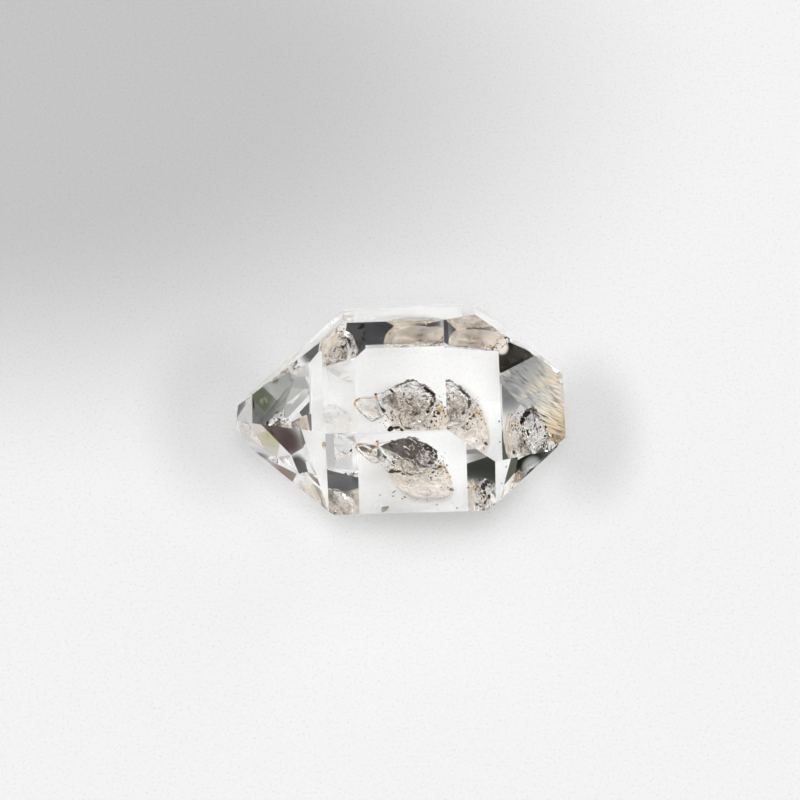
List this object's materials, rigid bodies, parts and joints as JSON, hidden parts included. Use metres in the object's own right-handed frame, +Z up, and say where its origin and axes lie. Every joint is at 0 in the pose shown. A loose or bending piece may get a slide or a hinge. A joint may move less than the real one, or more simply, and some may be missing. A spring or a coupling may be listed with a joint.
{
  "type": "herkimer diamond crystal",
  "caption": "Clear double-ended quartz crystal with flat faces and a dark mineral inclusion sealed inside, lying on one prism face.",
  "frame": {"origin": "under the middle of the crystal's bounding box, on the plane of the prism face that it rests on", "axes": "+X along the crystal's long axis towards its blunter end, +Y across it, +Z up from the resting face"},
  "size_m": [0.024, 0.0164, 0.0126],
  "materials": {
    "quartz": "clear, naturally glossy crystal faces",
    "clay": "dull, milky grey-brown to pale pink",
    "fluid_cell": "thin clear cell with a golden rim",
    "carbon": "black, slightly shiny carbon",
    "iron_stain": "golden brown, dull"
  },
  "bodies": {
    "root": {"crystal_upper": "quartz", "crystal_lower": "quartz", "inclusion_mass": "clay", "inclusion_cell": "fluid_cell", "carbon_band": "carbon", "carbon_flake": "carbon", "iron_stain": "iron_stain"}
  },
  "joints": []
}
